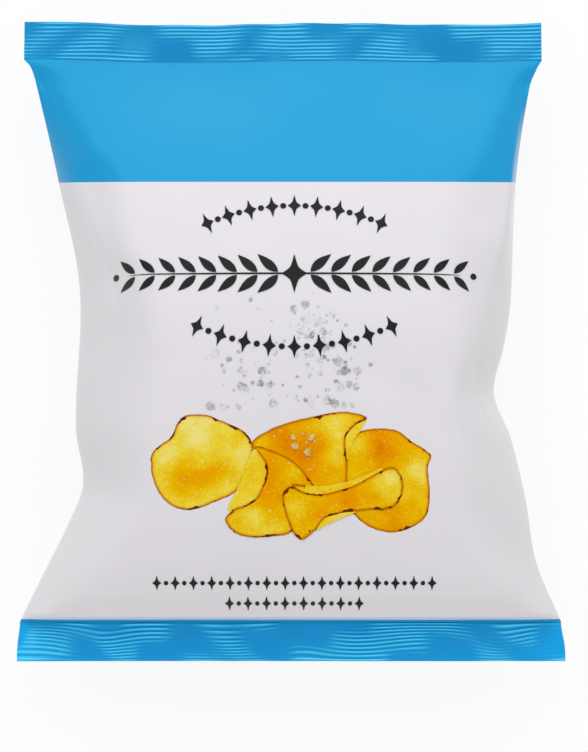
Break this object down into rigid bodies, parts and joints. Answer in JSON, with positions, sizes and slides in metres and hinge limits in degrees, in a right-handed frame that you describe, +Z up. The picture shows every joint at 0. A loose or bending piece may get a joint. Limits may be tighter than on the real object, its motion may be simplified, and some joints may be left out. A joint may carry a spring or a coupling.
{
  "type": "bag of crisps",
  "caption": "Sealed pillow bag of potato crisps lying on its back, with a ribbed flat seal across each end, a plump creased body and a folded-down fin seam behind.",
  "frame": {"origin": "on the surface that the bag lies on, below the centre of its outline", "axes": "+Y along the bag to its top seal, +Z up out of its printed front, X across it"},
  "size_m": [0.1536, 0.1816, 0.0598],
  "materials": {
    "printed_film": "satin printed film, off-white with a light blue band at each end"
  },
  "bodies": {
    "root": {"crisp_bag": "printed_film"}
  },
  "joints": []
}
